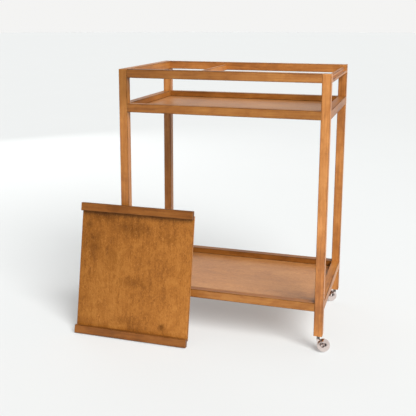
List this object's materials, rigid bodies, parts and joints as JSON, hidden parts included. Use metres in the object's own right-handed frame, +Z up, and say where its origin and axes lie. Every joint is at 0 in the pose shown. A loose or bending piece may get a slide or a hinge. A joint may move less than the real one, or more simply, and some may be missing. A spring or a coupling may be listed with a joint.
{
  "type": "serving cart",
  "caption": "Rolling wooden cart with square posts, two recessed shelves, an open top frame with a bottle bay, a lift-out battened tray and swivel ball casters",
  "frame": {"origin": "bottom centre of the box of the cart on its casters and the tray leaning on its left front post", "axes": "+Z up, +Y toward the cart's back, +X along the cart to its right end"},
  "size_m": [0.8226, 0.5627, 0.866],
  "materials": {
    "post_wood": "satin lacquer over warm brown stained maple, square edges eased",
    "rail_wood": "satin lacquer over warm brown stained maple, grain along the rail",
    "shelf_wood": "satin lacquered veneered board, paler than the rails",
    "tray_wood": "satin lacquered board with a mottled figure, grain along the slope",
    "batten_wood": "satin lacquered solid wood, darker than the panel",
    "screw_steel": "plain steel wood screw",
    "caster_steel": "plain turned steel",
    "caster_nickel": "bright plated shell"
  },
  "bodies": {
    "frame": {"post_front_left": "post_wood", "post_front_right": "post_wood", "post_back_left": "post_wood", "post_back_right": "post_wood", "top_rail_front": "rail_wood", "top_rail_back": "rail_wood", "top_rail_left": "rail_wood", "top_rail_right": "rail_wood", "divider_rail": "rail_wood", "upper_rail_front": "rail_wood", "upper_rail_back": "rail_wood", "upper_rail_left": "rail_wood", "upper_rail_right": "rail_wood", "upper_shelf_board": "shelf_wood", "lower_rail_front": "rail_wood", "lower_rail_back": "rail_wood", "lower_rail_left": "rail_wood", "lower_rail_right": "rail_wood", "lower_shelf_board": "shelf_wood", "caster_front_left_socket": "caster_steel", "caster_front_right_socket": "caster_steel", "caster_back_left_socket": "caster_steel", "caster_back_right_socket": "caster_steel"},
    "tray": {"tray_panel": "tray_wood", "tray_batten_foot": "batten_wood", "tray_batten_head": "batten_wood", "tray_screw_foot_left": "screw_steel", "tray_screw_foot_right": "screw_steel", "tray_screw_head_left": "screw_steel", "tray_screw_head_right": "screw_steel"},
    "swivel_front_left": {"caster_front_left_hood": "caster_nickel", "caster_front_left_stem": "caster_steel", "caster_front_left_axle": "caster_nickel"},
    "wheel_front_left": {"caster_front_left_wheel": "caster_nickel", "caster_front_left_hub_cap": "caster_nickel"},
    "swivel_front_right": {"caster_front_right_hood": "caster_nickel", "caster_front_right_stem": "caster_steel", "caster_front_right_axle": "caster_nickel"},
    "wheel_front_right": {"caster_front_right_wheel": "caster_nickel", "caster_front_right_hub_cap": "caster_nickel"},
    "swivel_back_left": {"caster_back_left_hood": "caster_nickel", "caster_back_left_stem": "caster_steel", "caster_back_left_axle": "caster_nickel"},
    "wheel_back_left": {"caster_back_left_wheel": "caster_nickel", "caster_back_left_hub_cap": "caster_nickel"},
    "swivel_back_right": {"caster_back_right_hood": "caster_nickel", "caster_back_right_stem": "caster_steel", "caster_back_right_axle": "caster_nickel"},
    "wheel_back_right": {"caster_back_right_wheel": "caster_nickel", "caster_back_right_hub_cap": "caster_nickel"}
  },
  "joints": [
    {"name": "swivel_front_left_turn", "type": "hinge", "parent": "frame", "child": "swivel_front_left", "pos_m": [-0.26582, -0.16364, 0.06], "axis": [0, 0, 1], "continuous": true},
    {"name": "wheel_front_left_roll", "type": "hinge", "parent": "swivel_front_left", "child": "wheel_front_left", "pos_m": [-0.25087, -0.17061, 0.02065], "axis": [-0.3918, -0.8403, 0.3746], "continuous": true},
    {"name": "swivel_front_right_turn", "type": "hinge", "parent": "frame", "child": "swivel_front_right", "pos_m": [0.37417, -0.16364, 0.06], "axis": [0, 0, 1], "continuous": true},
    {"name": "wheel_front_right_roll", "type": "hinge", "parent": "swivel_front_right", "child": "wheel_front_right", "pos_m": [0.39067, -0.16364, 0.02065], "axis": [0, -0.9272, 0.3746], "continuous": true},
    {"name": "swivel_back_left_turn", "type": "hinge", "parent": "frame", "child": "swivel_back_left", "pos_m": [-0.26582, 0.25136, 0.06], "axis": [0, 0, 1], "continuous": true},
    {"name": "wheel_back_left_roll", "type": "hinge", "parent": "swivel_back_left", "child": "wheel_back_left", "pos_m": [-0.28133, 0.257, 0.02065], "axis": [0.3171, 0.8713, 0.3746], "continuous": true},
    {"name": "swivel_back_right_turn", "type": "hinge", "parent": "frame", "child": "swivel_back_right", "pos_m": [0.37417, 0.25136, 0.06], "axis": [0, 0, 1], "continuous": true},
    {"name": "wheel_back_right_roll", "type": "hinge", "parent": "swivel_back_right", "child": "wheel_back_right", "pos_m": [0.36066, 0.26082, 0.02065], "axis": [0.5318, 0.7595, 0.3746], "continuous": true},
    {"name": "tray_lift_off", "type": "slide", "parent": "frame", "child": "tray", "axis": [0, -0.5, 0.866], "range_m": [0, 0.3]}
  ]
}
